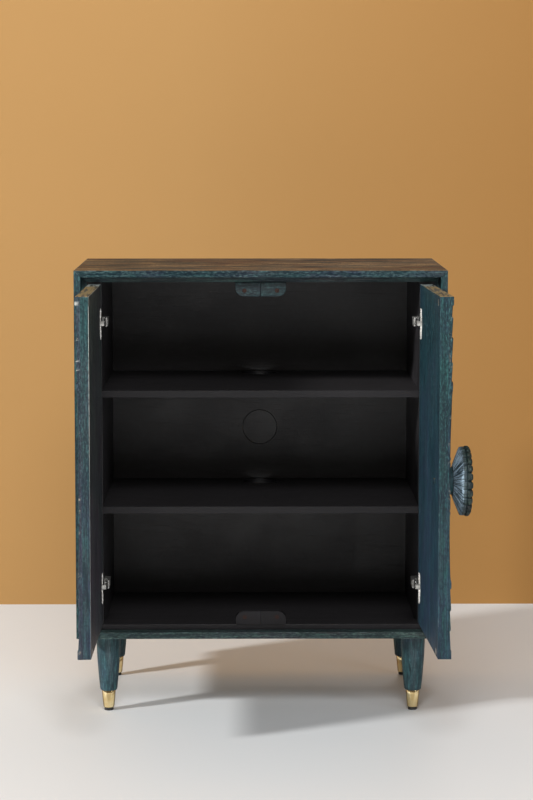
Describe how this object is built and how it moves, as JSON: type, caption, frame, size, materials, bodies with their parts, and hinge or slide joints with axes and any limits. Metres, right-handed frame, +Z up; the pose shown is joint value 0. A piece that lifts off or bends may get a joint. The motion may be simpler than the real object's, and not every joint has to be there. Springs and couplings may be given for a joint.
{
  "type": "entryway cabinet",
  "caption": "Entryway cabinet on turned, metal-tipped legs, with carved inset doors on concealed hinges, a large scalloped knob and shelves with cable holes.",
  "frame": {"origin": "at floor level below the middle of the case, level with the feet's undersides", "axes": "+X to the right seen from the front, +Y to the back, +Z up; the doors open towards -Y"},
  "size_m": [0.8655, 0.8942, 1.016],
  "materials": {
    "stained_wood": "blue-green stained wood, satin",
    "inner_wood": "near-black stained wood, matt",
    "brass": "polished",
    "glide_plastic": "matt black",
    "hinge_steel": "nickel plated",
    "screw_steel": "zinc plated",
    "magnet": "dark nickel"
  },
  "bodies": {
    "cabinet": {"top_board": "stained_wood", "bottom_board": "stained_wood", "left_side_board": "stained_wood", "right_side_board": "stained_wood", "back_panel": "inner_wood", "cable_hole_cover": "inner_wood", "back_panel_screws": "screw_steel", "top_rail": "stained_wood", "bottom_rail": "stained_wood", "left_front_post": "stained_wood", "right_front_post": "stained_wood", "rear_posts": "inner_wood", "left_side_lining": "inner_wood", "right_side_lining": "inner_wood", "upper_shelf": "inner_wood", "lower_shelf": "inner_wood", "front_left_leg": "stained_wood", "front_left_leg_ferrule": "brass", "back_left_leg": "stained_wood", "back_left_leg_ferrule": "brass", "front_right_leg": "stained_wood", "front_right_leg_ferrule": "brass", "back_right_leg": "stained_wood", "back_right_leg_ferrule": "brass", "foot_glides": "glide_plastic", "leg_bolts": "screw_steel", "leg_inserts": "screw_steel", "left_upper_stop_block": "stained_wood", "right_upper_stop_block": "stained_wood", "left_lower_stop_block": "stained_wood", "right_lower_stop_block": "stained_wood", "stop_magnets": "magnet", "left_upper_hinge_arm": "hinge_steel", "left_lower_hinge_arm": "hinge_steel", "right_upper_hinge_arm": "hinge_steel", "right_lower_hinge_arm": "hinge_steel", "hinge_arm_pins": "hinge_steel", "hinge_plates": "hinge_steel", "hinge_plate_screws": "screw_steel"},
    "left_hinge_links": {"left_upper_hinge_link": "hinge_steel", "left_lower_hinge_link": "hinge_steel"},
    "left_door": {"left_door": "stained_wood", "left_door_carving": "stained_wood", "left_strike_plates": "screw_steel", "left_cup_pins": "hinge_steel", "left_cup_screws": "screw_steel", "left_upper_hinge_cup": "hinge_steel", "left_lower_hinge_cup": "hinge_steel"},
    "right_hinge_links": {"right_upper_hinge_link": "hinge_steel", "right_lower_hinge_link": "hinge_steel"},
    "right_door": {"right_door": "stained_wood", "right_door_carving": "stained_wood", "right_strike_plates": "screw_steel", "right_cup_pins": "hinge_steel", "right_cup_screws": "screw_steel", "right_upper_hinge_cup": "hinge_steel", "right_lower_hinge_cup": "hinge_steel", "knob": "stained_wood", "knob_stem": "stained_wood", "knob_bolt": "screw_steel"}
  },
  "joints": [
    {"name": "left_door_hinge", "type": "hinge", "parent": "left_hinge_links", "child": "left_door", "pos_m": [-0.36812, -0.25292, 0.6], "axis": [0, 0, 1], "range_deg": [-4.85, 125.48]},
    {"name": "left_link_hinge", "type": "hinge", "parent": "cabinet", "child": "left_hinge_links", "pos_m": [-0.34884, -0.21216, 0.6], "axis": [0, 0, 1], "range_deg": [-35.03, 1.4]},
    {"name": "right_door_hinge", "type": "hinge", "parent": "right_hinge_links", "child": "right_door", "pos_m": [0.36765, -0.25313, 0.6], "axis": [0, 0, -1], "range_deg": [-2.5, 127.84]},
    {"name": "right_link_hinge", "type": "hinge", "parent": "cabinet", "child": "right_hinge_links", "pos_m": [0.34884, -0.21216, 0.6], "axis": [0, 0, -1], "range_deg": [-35.69, 0.75]}
  ],
  "couplings": [
    {"joint": "left_link_hinge", "follows": "left_door_hinge", "ratio": -0.27876},
    {"joint": "right_link_hinge", "follows": "right_door_hinge", "ratio": -0.27876}
  ]
}
